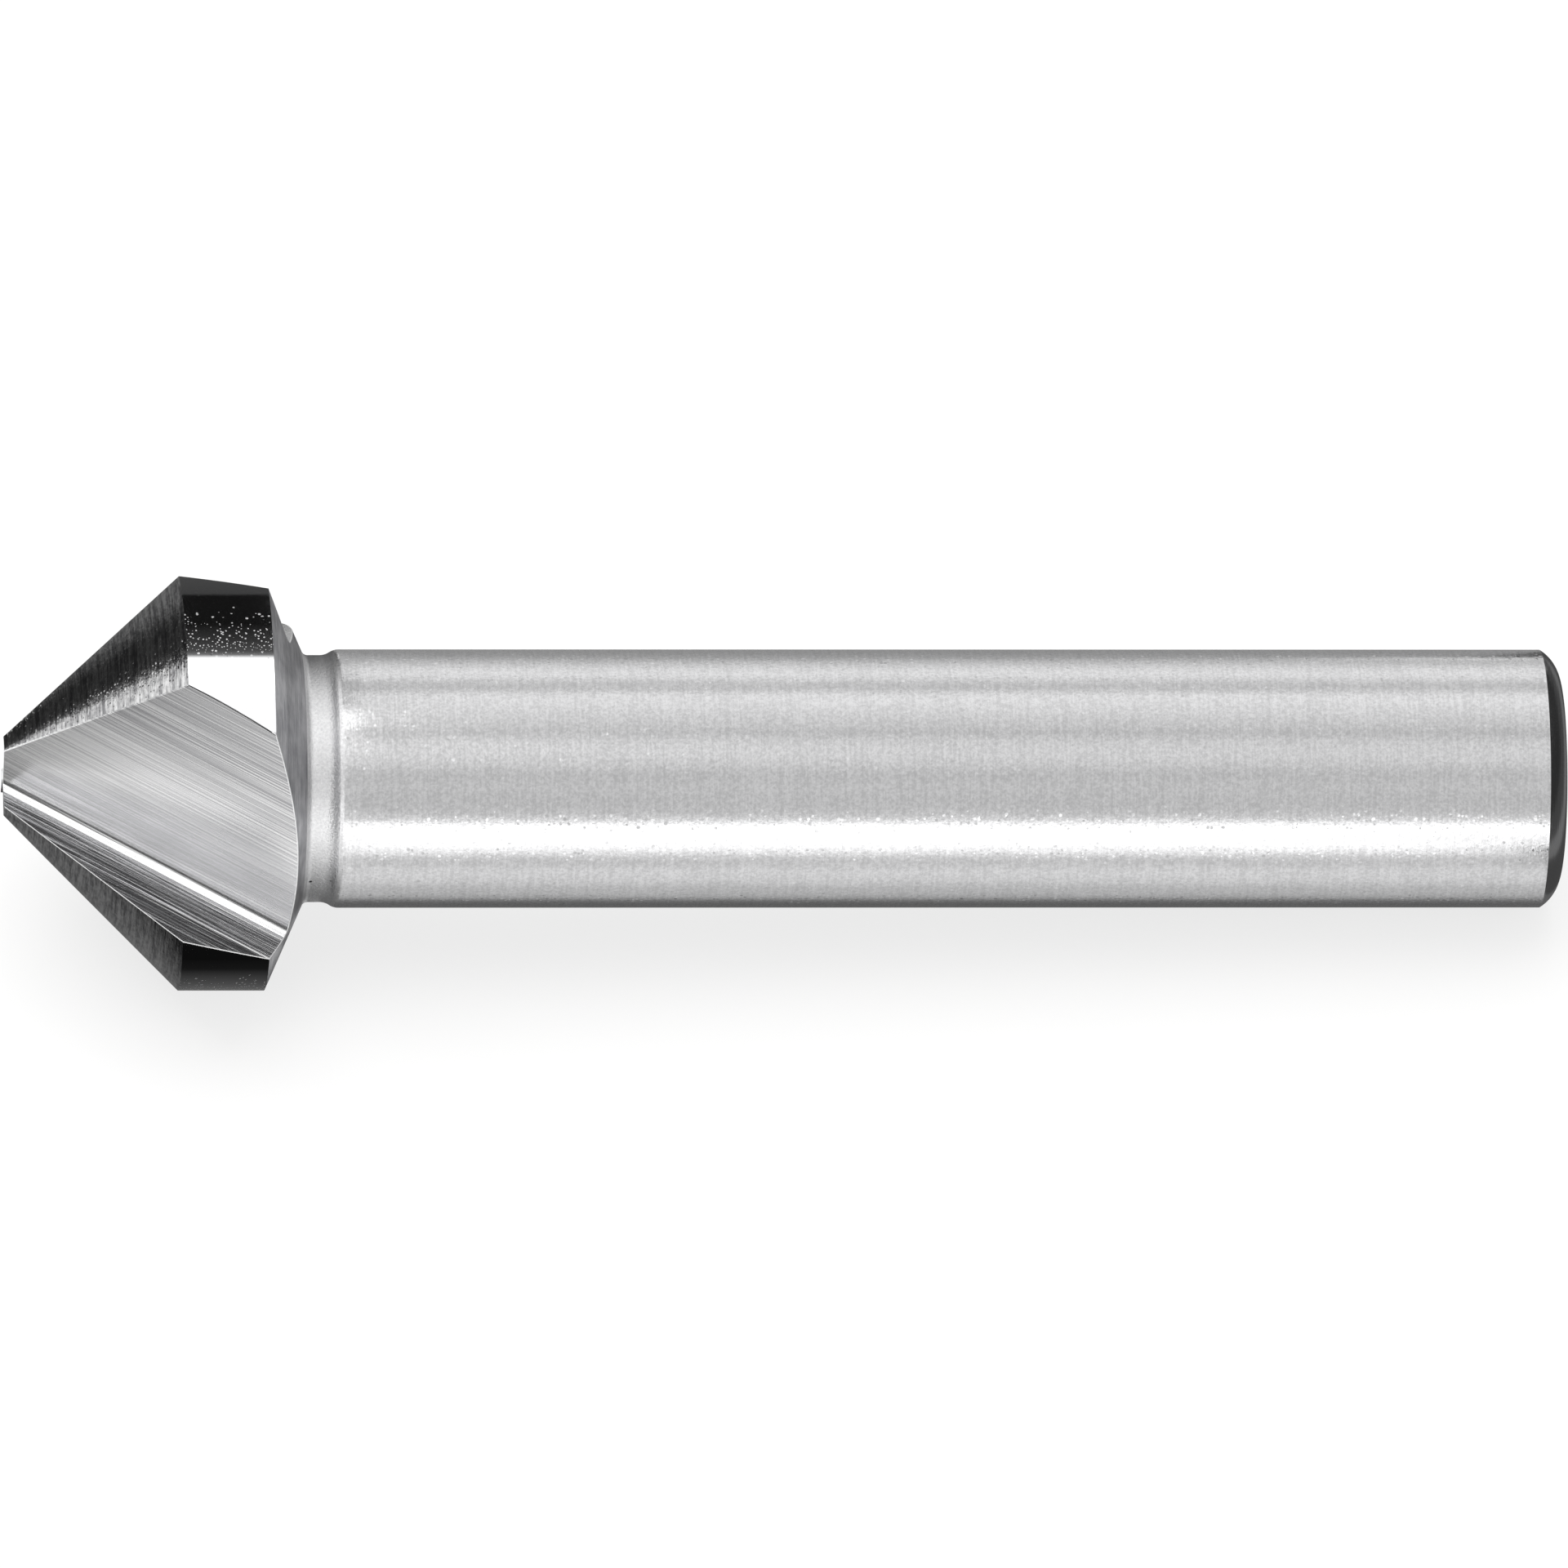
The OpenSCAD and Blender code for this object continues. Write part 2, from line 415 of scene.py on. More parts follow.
# %% Smooth faces and sharp borders
for face in bm.faces:
    face.smooth = True
for edge in bm.edges:
    same = len({face.material_index for face in edge.link_faces}) == 1
    edge.smooth = same and edge.calc_face_angle(0) < math.radians(30)
print(f"{sum(not e.smooth for e in bm.edges)} edges are sharp")

# %% [markdown]
# ## Bevels without a burr
# The wheel pushes a burr over the edges of the rake face and of the back. The other bevels are clean
# and take the floor's finish. That comes after the shading, while they still have sharp borders.

# %% Give the clean bevels the floor's finish
BURRED = {REGION[name] for name in ("rake", "back")}
strips = [face for face in bm.faces if face.material_index == REGION["edge"]]
plain = []
for face in strips:
    near = {f for edge in face.edges for f in edge.link_faces}
    near |= {f for other in near if other in strips for edge in other.edges for f in edge.link_faces}
    if not BURRED & {f.material_index for f in near}:
        plain.append(face)
for face in plain:
    face.material_index = REGION["floor"]
print(f"{len(plain)} of {len(strips)} bevel faces carry no burr")

# %% [markdown]
# ## A map of the grinding marks
# The marks run another way on each kind of face, so they need a map on the mesh. It is laid out in
# millimetres: its first coordinate runs across the marks and its second one along them. On the round
# faces that is the station and the way round the axis. In a flute it is the distance from the corner
# and the way along the wheel's path.


# %% Places on the map
def round_spot(co, face_turn):
    """Map of the round faces: the station, and the way round the axis, in mm."""
    turn = math.atan2(-co.y, co.z) / math.tau
    turn += round(face_turn - turn)
    return co.x, turn * math.tau * SHANK_R


def flute_spot(co, place):
    """Map of a flute: across the wheel's path from its corner, and along the path, in mm."""
    spot = place.inverted() @ co
    on_floor = spot.dot(into_flute["rake"]) > spot.dot(into_flute["floor"])
    return spot.dot(FLOOR_WAY) if on_floor else -spot.dot(RAKE_WAY), spot.z


def nearest_flute(face):
    """The number of the flute that this face belongs to."""
    spots = [place.inverted() @ face.calc_center_median() for place in places]
    name = REGIONS[face.material_index]
    misses = [spot.xy.length if name == "corner" else abs(spot.dot(into_flute[name])) for spot in spots]
    return misses.index(min(misses))


# %% Lay out the map
FLUTE_APART = 50   # mm, so that each flute takes its marks from another part of the pattern
marks = bm.loops.layers.uv.new("marks")
for face in bm.faces:
    middle = face.calc_center_median()
    face_turn = math.atan2(-middle.y, middle.z) / math.tau
    flute = nearest_flute(face) if face.material_index in FLUTE else None
    for loop in face.loops:
        if flute is None:
            loop[marks].uv = round_spot(loop.vert.co, face_turn)
        else:
            across, along = flute_spot(loop.vert.co, places[flute])
            loop[marks].uv = (across, along + flute * FLUTE_APART)
print(f"the map covers {len(bm.faces)} faces")

# %% [markdown]
# ## Put the bit in its place
# So far the tip was the origin. The finished mesh is turned and moved to where the CAD solid lies,
# and its object stays at the world's origin, unturned, as the solid's own does.

# %% Place the mesh
into_place = Matrix.Translation(TIP) @ Matrix((axis, side, up)).transposed().to_4x4() @ Matrix.Scale(MM, 4)
bmesh.ops.transform(bm, matrix=into_place, verts=bm.verts)
bit_mesh = bpy.data.meshes.new("countersink_bit")
bm.to_mesh(bit_mesh)
bm.free()
bpy.data.objects.remove(body)
bit = bpy.data.objects.new("countersink_bit", bit_mesh)
bpy.context.scene.collection.objects.link(bit)
print(f"the finished mesh has {len(bit_mesh.polygons)} faces")

# %% [markdown]
# ## Finishes
# The steel is the same all over. What differs is how each face was machined, and that gives the eye
# three things: how wide a highlight spreads (roughness), whether it spreads more across the marks
# than along them (anisotropy), and the fine lines themselves (a bump, and a slight change of tone
# between ridges and grooves). So every finish starts from one bright steel and adds its own marks.
# Real grinding marks are one or two hundredths of a millimetre wide, far too fine for the picture.
# They are drawn about 0.1 mm wide, which is three pixels, and each finish says its size.

# %% Helpers for finishes
def linear(hex_colour):
    """A colour written as sRGB hex, as linear RGBA."""
    channels = [int(hex_colour[i:i + 2], 16) / 255 for i in (1, 3, 5)]
    return [c / 12.92 if c <= 0.04045 else ((c + 0.055) / 1.055) ** 2.4 for c in channels] + [1]


def connect(tree, node, **links):
    """Fills a node's inputs, by name or by number, each with a socket or a value."""
    for name, value in links.items():
        socket = node.inputs[int(name[1:])] if name[0] == "_" else node.inputs[name.replace("_", " ")]
        if isinstance(value, bpy.types.NodeSocket):
            tree.links.new(value, socket)
        else:
            socket.default_value = value


def add(tree, kind, settings=None, **links):
    """Adds a node. Settings are its own properties, and links are its inputs."""
    node = tree.nodes.new(kind)
    for name, value in (settings or {}).items():
        setattr(node, name, value)
    connect(tree, node, **links)
    return node


# %% [markdown]
# Anisotropy needs a direction. The tangent of the map called marks runs across the marks on every
# face, so a highlight spreads across them. Round faces take their patterns from object coordinates,
# turned so that the first one runs along the axis. The flutes take theirs from the map, because
# their marks run straight along the wheel's path.

# %% Bright steel, and coordinates for its marks
STEEL = linear("#E4E4E5")
TURN = into_place.to_euler()


def start_steel(name, roughness, anisotropy=0.0):
    """A bright steel whose highlight spreads across the marks."""
    material = bpy.data.materials.new(name)
    material.use_nodes = True
    tree = material.node_tree
    shader = tree.nodes["Principled BSDF"]
    connect(tree, shader, Base_Color=STEEL, Metallic=1, Roughness=roughness, Anisotropic=anisotropy)
    if anisotropy:
        across = add(tree, "ShaderNodeTangent", {"direction_type": "UV_MAP", "uv_map": "marks"})
        connect(tree, shader, Tangent=across.outputs[0])
    return material, tree, shader


def on_bit(tree, along_axis, across_axis):
    """Object coordinates, turned to the axis and divided by the size of a pattern in mm."""
    spot = add(tree, "ShaderNodeTexCoord").outputs["Object"]
    return add(tree, "ShaderNodeMapping", {"vector_type": "TEXTURE"}, Vector=spot, Location=TIP,
               Rotation=TURN, Scale=(along_axis * MM, across_axis * MM, across_axis * MM)).outputs[0]


def on_marks(tree, across, along):
    """The map of the marks, divided by the width and the length of a mark in mm."""
    spot = add(tree, "ShaderNodeUVMap", {"uv_map": "marks"}).outputs[0]
    return add(tree, "ShaderNodeMapping", {"vector_type": "TEXTURE"}, Vector=spot,
               Scale=(across, along, 1)).outputs[0]


# %% [markdown]
# ## Specks
# Seen close, ground steel glitters: tiny facets stand a few degrees off and catch another part of
# the studio than their surroundings do. A bump can't give that, because its slopes always run up
# and down. A Voronoi texture can: each of its cells has a random colour, and two channels of it tilt
# the normal around a dot in the middle of the cell. The third one sets the size of the dot.


# %% Specks
def specks(tree, shader, size, lean, normal):
    """Tilts the normal in tiny round facets, each its own way, and gives back where they are."""
    cells = add(tree, "ShaderNodeTexVoronoi", Vector=on_bit(tree, size, size), Scale=1)
    chance = add(tree, "ShaderNodeSeparateColor", Color=cells.outputs["Color"])
    reach = add(tree, "ShaderNodeMath", {"operation": "MULTIPLY"}, _0=chance.outputs[2], _1=0.5)
    inside = add(tree, "ShaderNodeMath", {"operation": "LESS_THAN"}, _0=cells.outputs["Distance"],
                 _1=reach.outputs[0])
    along = add(tree, "ShaderNodeTangent", {"direction_type": "UV_MAP", "uv_map": "marks"}).outputs[0]
    round_axis = add(tree, "ShaderNodeVectorMath", {"operation": "CROSS_PRODUCT"}, _0=along, _1=normal)
    for way, number in ((round_axis.outputs[0], 0), (along, 1)):
        share = add(tree, "ShaderNodeMath", {"operation": "SUBTRACT"}, _0=chance.outputs[number], _1=0.5)
        swing = add(tree, "ShaderNodeMath", {"operation": "MULTIPLY"}, _0=share.outputs[0],
                    _1=inside.outputs[0])
        tilt = add(tree, "ShaderNodeVectorMath", {"operation": "SCALE"}, _0=way, Scale=swing.outputs[0])
        normal = add(tree, "ShaderNodeVectorMath", {"operation": "MULTIPLY_ADD"}, _0=tilt.outputs[0],
                     _1=(lean, lean, lean), _2=normal).outputs[0]
    unit = add(tree, "ShaderNodeVectorMath", {"operation": "NORMALIZE"}, _0=normal)
    connect(tree, shader, Normal=unit.outputs[0])
    return inside.outputs[0], chance.outputs[0]


# %% [markdown]
# ## Shank: centreless-ground steel
# The shank is rolled between two grinding wheels, which leaves fine short lines round the axis and
# an even, satin grain. The eye gets soft bands along the shank, with a faint sparkle. The lines are
# a noise stretched round the axis, the grain is an even noise, and both share one shallow bump.


# %% Shank
def ground_shank():
    """Satin: lines of 0.1 x 2 mm round the axis and a grain of 0.14 mm, both drawn coarser than real."""
    material, tree, shader = start_steel("centreless_ground_steel", 0.2, 0.6)
    lines = add(tree, "ShaderNodeTexNoise", Vector=on_bit(tree, 0.1, 2), Scale=1, Detail=2, Roughness=0.6)
    grain = add(tree, "ShaderNodeTexNoise", Vector=on_bit(tree, 0.14, 0.14), Scale=1, Detail=2,
                Roughness=0.7)
    both = add(tree, "ShaderNodeMath", {"operation": "MULTIPLY_ADD"}, _0=lines.outputs[0], _1=0.5,
               _2=grain.outputs[0])
    grooves = add(tree, "ShaderNodeBump", Distance=0.005 * MM, Height=both.outputs[0])
    specks(tree, shader, 0.15, 0.16, grooves.outputs[0])
    ridge = add(tree, "ShaderNodeMapRange", Value=both.outputs[0], From_Min=0.58, From_Max=0.92)
    tone = add(tree, "ShaderNodeMix", {"data_type": "RGBA"}, _0=ridge.outputs[0],
               _6=linear("#D7D7D8"), _7=linear("#F0F0F1"))
    connect(tree, shader, Base_Color=tone.outputs[2])
    return material


# %% [markdown]
# ## Shank's end and tip: turned and polished steel
# The crowned chamfer at the end and the small flat of the tip are turned and lightly polished, so
# they mirror softly, with faint rings. One stretched noise is enough for the rings.


# %% Shank's end and tip
def turned_end():
    """A soft mirror with rings of 0.08 mm, drawn coarser than a lathe's fine feed."""
    material, tree, shader = start_steel("turned_and_polished_steel", 0.2, 0.3)
    lines = add(tree, "ShaderNodeTexNoise", Vector=on_bit(tree, 0.08, 3), Scale=1, Detail=2, Roughness=0.5)
    grooves = add(tree, "ShaderNodeBump", Distance=0.01 * MM, Height=lines.outputs[0])
    connect(tree, shader, Normal=grooves.outputs[0])
    return material


# %% [markdown]
# ## Neck: turned steel
# The groove lets the grinding wheel run out. It is turned and then left alone, so it is matt and
# mottled, without clear lines, and a few dark pits show in it. The mottle is an even noise in bump
# and tone. The pits are the small middles of large Voronoi cells.


# %% Neck
def turned_neck():
    """Matt and mottled, with a grain of 0.1 mm and one dark pit of 0.1 mm in every 1.5 mm."""
    material, tree, shader = start_steel("turned_steel", 0.3)
    grain = add(tree, "ShaderNodeTexNoise", Vector=on_bit(tree, 0.1, 0.1), Scale=1, Detail=3, Roughness=0.7)
    dents = add(tree, "ShaderNodeBump", Distance=0.025 * MM, Height=grain.outputs[0])
    connect(tree, shader, Normal=dents.outputs[0])
    cells = add(tree, "ShaderNodeTexVoronoi", Vector=on_bit(tree, 1.5, 1.5), Scale=1)
    pit = add(tree, "ShaderNodeMapRange", Value=cells.outputs["Distance"], From_Min=0.03, From_Max=0.06)
    mottle = add(tree, "ShaderNodeMix", {"data_type": "RGBA"}, _0=grain.outputs[0],
                 _6=linear("#C0C0C2"), _7=linear("#FFFFFF"))
    tone = add(tree, "ShaderNodeMix", {"data_type": "RGBA"}, _0=pit.outputs[0], _6=linear("#3C3C3E"),
               _7=mottle.outputs[2])
    connect(tree, shader, Base_Color=tone.outputs[2])
    return material


# %% [markdown]
# ## Back of the head: faced steel
# The back is faced on the lathe and never ground again. Its tone is painted darker than the rest of
# the steel, as painted shade for the light that its rough facing traps. The eye gets a wide dull
# highlight, fine rings and smudges. A stretched noise gives the rings and a large one the smudges,
# and both darken the steel, but only the rings are deep enough for a bump.


# %% Back
def turned_back():
    """Dull, and painted darker as shade: rings of 0.06 mm, drawn coarser than real, under smudges of about
    1 mm.
    """
    material, tree, shader = start_steel("faced_steel", 0.38, 0.5)
    lines = add(tree, "ShaderNodeTexNoise", Vector=on_bit(tree, 0.06, 1.5), Scale=1, Detail=3,
                Roughness=0.6)
    smudges = add(tree, "ShaderNodeTexNoise", Vector=on_bit(tree, 0.8, 1.2), Scale=1, Detail=4,
                  Roughness=0.6)
    both = add(tree, "ShaderNodeMath", {"operation": "ADD"}, _0=lines.outputs[0], _1=smudges.outputs[0])
    grooves = add(tree, "ShaderNodeBump", Distance=0.03 * MM, Height=lines.outputs[0])
    connect(tree, shader, Normal=grooves.outputs[0])
    ridge = add(tree, "ShaderNodeMapRange", Value=both.outputs[0], From_Min=0.75, From_Max=1.25)
    # Both tones lie well below the steel's: the back's darkness is painted shade.
    tone = add(tree, "ShaderNodeMix", {"data_type": "RGBA"}, _0=ridge.outputs[0],
               _6=linear("#88888C"), _7=linear("#BABABC"))
    connect(tree, shader, Base_Color=tone.outputs[2])
    return material


# %% [markdown]
# ## Land: lapped steel
# The land guides the bit in its hole, so it is lapped almost to a mirror: it shows black where the
# studio is black and white where it is white. The lapping has missed a band of small pits, which are
# rough. They see the whole studio at once, so they stand out as bright dots on the black part. How
# far a spot lies behind the cutting edge is read from the map, whose second coordinate runs round
# the axis: the pits start at the first angle of the band and get denser up to its end.

# %% Land
PIT_BAND = (17, 35)   # degrees behind the cutting edge
PIT_SIZE = 0.12       # mm, drawn a little coarser than real


def polished_land():
    """Nearly a mirror, with a band of rough bright pits."""
    material, tree, shader = start_steel("lapped_steel", 0.06)
    normal = add(tree, "ShaderNodeNewGeometry").outputs["Normal"]
    inside, chance = specks(tree, shader, PIT_SIZE, 0.02, normal)
    spot = add(tree, "ShaderNodeSeparateXYZ", Vector=on_marks(tree, 1, math.tau * SHANK_R / TEETH))
    turn = add(tree, "ShaderNodeMath", {"operation": "SUBTRACT"}, _0=spot.outputs["Y"], _1=LEAD / PITCH)
    behind = add(tree, "ShaderNodeMath", {"operation": "FRACT"}, _0=turn.outputs[0]).outputs[0]
    start, end = (angle / PITCH for angle in PIT_BAND)
    share = add(tree, "ShaderNodeMapRange", Value=behind, From_Min=start, From_Max=end)
    pitted = add(tree, "ShaderNodeMath", {"operation": "LESS_THAN"}, _0=chance, _1=share.outputs[0])
    before_end = add(tree, "ShaderNodeMath", {"operation": "LESS_THAN"}, _0=behind, _1=end)
    in_band = add(tree, "ShaderNodeMath", {"operation": "MULTIPLY"}, _0=pitted.outputs[0],
                  _1=before_end.outputs[0])
    pits = add(tree, "ShaderNodeMath", {"operation": "MULTIPLY"}, _0=inside, _1=in_band.outputs[0])
    dull = add(tree, "ShaderNodeMapRange", Value=pits.outputs[0], To_Min=0.06, To_Max=0.6)
    connect(tree, shader, Roughness=dull.outputs[0])
    return material


# %% [markdown]
# ## Cone: relief-ground steel
# The cone is ground by a wheel that feeds in while the bit turns. Its marks run round the axis and
# are sharp and uneven, so single lines flash next to dark ones. That needs a deeper bump than the
# shank's, darker grooves, and a rather smooth surface between the lines.


# %% Cone
def ground_cone():
    """Sharp lines of 0.1 x 2.5 mm and short dashes of 0.12 x 0.35 mm, drawn coarser than real."""
    material, tree, shader = start_steel("relief_ground_steel", 0.11, 0.4)
    lines = add(tree, "ShaderNodeTexNoise", Vector=on_bit(tree, 0.1, 2.5), Scale=1, Detail=3,
                Roughness=0.7)
    grain = add(tree, "ShaderNodeTexNoise", Vector=on_bit(tree, 0.12, 0.35), Scale=1, Detail=2,
                Roughness=0.7)
    both = add(tree, "ShaderNodeMath", {"operation": "MULTIPLY_ADD"}, _0=grain.outputs[0], _1=0.5,
               _2=lines.outputs[0])
    grooves = add(tree, "ShaderNodeBump", Distance=0.02 * MM, Height=both.outputs[0])
    specks(tree, shader, 0.1, 0.2, grooves.outputs[0])
    ridge = add(tree, "ShaderNodeMapRange", Value=both.outputs[0], From_Min=0.6, From_Max=0.88)
    tone = add(tree, "ShaderNodeMix", {"data_type": "RGBA"}, _0=ridge.outputs[0],
               _6=linear("#969698"), _7=linear("#F6F6F6"))
    connect(tree, shader, Base_Color=tone.outputs[2])
    return material


# %% [markdown]
# ## Flute's floor: wheel-ground steel
# The side of the wheel leaves long straight marks on the floor. Their grooves are drawn darker far
# from the corner and fade towards it, and far from the corner the steel is also painted up to a fifth
# darker, as painted shade. So the contrast of the marks and the tone are not one number each: they
# follow the distance from the corner, which is the map's first coordinate.


# %% Flute's floor
def ground_floor():
    """Long marks of 0.08 x 20 mm over soft stripes of 0.5 mm. The real marks are finer."""
    material, tree, shader = start_steel("wheel_ground_steel", 0.25, 0.5)
    fine = add(tree, "ShaderNodeTexNoise", Vector=on_marks(tree, 0.08, 20), Scale=1, Detail=2,
               Roughness=0.6)
    wide = add(tree, "ShaderNodeTexNoise", Vector=on_marks(tree, 0.5, 30), Scale=1, Detail=1)
    both = add(tree, "ShaderNodeMath", {"operation": "MULTIPLY_ADD"}, _0=wide.outputs[0], _1=0.2,
               _2=fine.outputs[0])
    grooves = add(tree, "ShaderNodeBump", Distance=0.004 * MM, Height=both.outputs[0])
    connect(tree, shader, Normal=grooves.outputs[0])
    from_corner = add(tree, "ShaderNodeSeparateXYZ", Vector=on_marks(tree, 1, 1))
    limit = add(tree, "ShaderNodeMapRange", Value=from_corner.outputs["X"], From_Min=2, From_Max=6,
                To_Min=0.1, To_Max=0.53)
    ridge = add(tree, "ShaderNodeMapRange", Value=both.outputs[0], From_Min=limit.outputs[0],
                From_Max=0.74)
    tone = add(tree, "ShaderNodeMix", {"data_type": "RGBA"}, _0=ridge.outputs[0],
               _6=linear("#B6B6B8"), _7=linear("#FCFCFC"))
    # Painted shade: the tone falls from 1.0 at 2 mm from the corner to 0.8 at 6 mm.
    painted_shade_from_corner = add(tree, "ShaderNodeMapRange", Value=from_corner.outputs["X"], From_Min=2, From_Max=6,
               To_Min=1.0, To_Max=0.8)
    shaded_tone = add(tree, "ShaderNodeVectorMath", {"operation": "SCALE"}, _0=tone.outputs[2],
                 Scale=painted_shade_from_corner.outputs[0])
    connect(tree, shader, Base_Color=shaded_tone.outputs[0])
    return material


# %% [markdown]
# ## Rake face: wheel-torn steel
# The wheel's rim cuts the rake face and tears it here and there. The smooth parts mirror a dark part
# of the studio, and the torn streaks are rough and bright, so the face has the strongest contrast of
# the whole bit. One noise decides where it is torn, and drives roughness and tone together. The
# steps of a wider noise add a few long ridges.


# %% Rake face
def ground_rake():
    """Dark smooth steel with bright torn streaks of 0.14 x 20 mm, drawn coarser than real."""
    material, tree, shader = start_steel("wheel_torn_steel", 0.1, 0.5)
    streaks = add(tree, "ShaderNodeTexNoise", Vector=on_marks(tree, 0.14, 20), Scale=1, Detail=3,
                  Roughness=0.7)
    torn = add(tree, "ShaderNodeMapRange", Value=streaks.outputs[0], From_Min=0.56, From_Max=0.64)
    zones = add(tree, "ShaderNodeTexNoise", Vector=on_marks(tree, 0.5, 25), Scale=1, Detail=1)
    step = add(tree, "ShaderNodeMapRange", Value=zones.outputs[0], From_Min=0.48, From_Max=0.54)
    height = add(tree, "ShaderNodeMath", {"operation": "ADD"}, _0=streaks.outputs[0], _1=step.outputs[0])
    grooves = add(tree, "ShaderNodeBump", Distance=0.03 * MM, Height=height.outputs[0])
    connect(tree, shader, Normal=grooves.outputs[0])
    dull = add(tree, "ShaderNodeMapRange", Value=torn.outputs[0], To_Min=0.08, To_Max=0.5)
    connect(tree, shader, Roughness=dull.outputs[0])
    tone = add(tree, "ShaderNodeMix", {"data_type": "RGBA"}, _0=torn.outputs[0],
               _6=linear("#A8A8AA"), _7=linear("#FFFFFF"))
    connect(tree, shader, Base_Color=tone.outputs[2])
    return material


# %% [markdown]
# ## Burr and painted highlight: the bright line on an edge
# Grinding pushes a paper-thin burr over the edge of the rake face. It is too thin to model as a
# form, so the bevel's own faces carry it: rough and dented, they catch light from anywhere, and their
# tone is painted brighter than the steel's, as a painted highlight along the edge.


# %% Burr
def burr_and_painted_highlight():
    """Rough steel, painted brighter as a highlight, with dents of 0.15 mm, so that the line looks ragged.
    """
    material, tree, shader = start_steel("burred_steel_and_painted_highlight", 0.6)
    grain = add(tree, "ShaderNodeTexNoise", Vector=on_bit(tree, 0.15, 0.15), Scale=1, Detail=2)
    dents = add(tree, "ShaderNodeBump", Distance=0.05 * MM, Height=grain.outputs[0])
    # Its colour, brighter than the steel, is a painted highlight; the roughness and dents are real.
    connect(tree, shader, Normal=dents.outputs[0], Base_Color=linear("#F8F8F8"))
    return material


# %% [markdown]
# ## Each region gets its finish
# The faces carry the number of their region already, so the materials only have to be added in the
# same order. The tip shares the finish of the shank's end, and the flute's corner that of its floor.

# %% Finishes in the order of the regions
FINISHES = {"shank": ground_shank(), "end": turned_end(), "neck": turned_neck(), "back": turned_back(),
            "land": polished_land(), "cone": ground_cone(), "floor": ground_floor(),
            "rake": ground_rake(), "edge": burr_and_painted_highlight()}
FINISHES["tip"] = FINISHES["end"]
FINISHES["corner"] = FINISHES["floor"]
for name in REGIONS:
    bit_mesh.materials.append(FINISHES[name])
print("finishes:", ", ".join(f"{name}: {FINISHES[name].name}" for name in REGIONS))

# %% [markdown]
# ## Camera
# The photograph looks down on the bit with a long lens, a little from the tip's side, so that the
# axis lies level across the whole picture. The place of the lens is worked out from the axis: a
# point on it that lies abeam of the lens, a distance, and a bearing.

# %% Long lens
CAMERA_BEARING = 41.15    # degrees from straight up towards the viewer
CAMERA_DISTANCE = 1500
ABEAM = -81               # station that the lens looks at squarely
AIM_STATION = 30.29       # station in the middle of the picture
AIM_DROP = 0.21           # the axis runs this far above the middle
LENS = 891.7


def outwards(bearing):
    """Unit vector square to the axis, at this bearing."""
    b = math.radians(bearing)
    return up * math.cos(b) - side * math.sin(b)


eye = TIP + (axis * ABEAM + outwards(CAMERA_BEARING) * CAMERA_DISTANCE) * MM
aim = TIP + (axis * AIM_STATION - outwards(CAMERA_BEARING - 90) * AIM_DROP) * MM
back = (eye - aim).normalized()
right = (axis - back * axis.dot(back)).normalized()
camera_data = bpy.data.cameras.new("long_lens")
camera_data.lens = LENS
camera_data.sensor_width = 36
camera_data.clip_start = 0.1
camera_data.clip_end = 20
camera = bpy.data.objects.new("long_lens", camera_data)
turned = Matrix((right, back.cross(right), back)).transposed().to_4x4()
camera.matrix_world = Matrix.Translation(eye) @ turned
bpy.context.scene.collection.objects.link(camera)
bpy.context.scene.camera = camera
print(f"the lens is {(eye - aim).length:.2f} m away")

# %% [markdown]
# ## Table
# The bit lies on a plain white table. A matt table alone would render grey under a plain light, so
# what the camera and the steel see of it is mostly an even white of strength 1, and the rest is the
# matt surface, which keeps the shadow. The light that the table throws back onto the bit is that of
# the matt surface alone, so the white background costs the bit no contrast.

# %% Table
BACKGROUND_SHARE = 0.75
TABLE_HALF = 4   # half the table's side in metres, so that its edge is never seen


def show_as_stage(name, bm, material):
    """Makes an object of a mesh, as a part of the studio and not of the bit."""
    mesh = bpy.data.meshes.new(name)
    bm.to_mesh(mesh)
    bm.free()
    mesh.materials.append(material)
    thing = bpy.data.objects.new(name, mesh)
    bpy.context.scene.collection.objects.link(thing)
    return thing


def sees_background(tree):
    """1 for a ray from the camera, through glass or off a shiny surface, and 0 for any other."""
    rays = add(tree, "ShaderNodeLightPath").outputs
    seen = add(tree, "ShaderNodeMath", {"operation": "MAXIMUM"}, _0=rays["Is Camera Ray"],
               _1=rays["Is Transmission Ray"])
    return add(tree, "ShaderNodeMath", {"operation": "MAXIMUM"}, _0=seen.outputs[0],
               _1=rays["Is Glossy Ray"]).outputs[0]


def table_finish():
    """Matt white, shown partly as the plain white of the background, with the shadow kept."""
    material = bpy.data.materials.new("matt_white_table")
    material.use_nodes = True
    tree = material.node_tree
    tree.nodes.clear()
    share = add(tree, "ShaderNodeMath", {"operation": "MULTIPLY"}, _0=sees_background(tree),
                _1=BACKGROUND_SHARE)
    matt = add(tree, "ShaderNodeBsdfDiffuse", Color=linear("#F4F4F3"))
    white = add(tree, "ShaderNodeEmission", Color=(1, 1, 1, 1), Strength=1.0)
    both = add(tree, "ShaderNodeMixShader", _0=share.outputs[0], _1=matt.outputs[0], _2=white.outputs[0])
    add(tree, "ShaderNodeOutputMaterial", Surface=both.outputs[0])
    return material


bm = bmesh.new()
bmesh.ops.create_grid(bm, x_segments=1, y_segments=1, size=TABLE_HALF)
bmesh.ops.translate(bm, verts=bm.verts, vec=(0, 0, cad_box[0].z))
show_as_stage("table", bm, table_finish())
print(f"the table lies at {cad_box[0].z / MM:.3f} mm")

# %% [markdown]
# ## World and lamp
# The world lights the room evenly, and shows as white to the camera and to the steel. One large soft
# lamp overhead, a little behind the bit, throws its shadow towards the viewer. The steel doesn't see
# that lamp: what it mirrors is set by the cards further on.

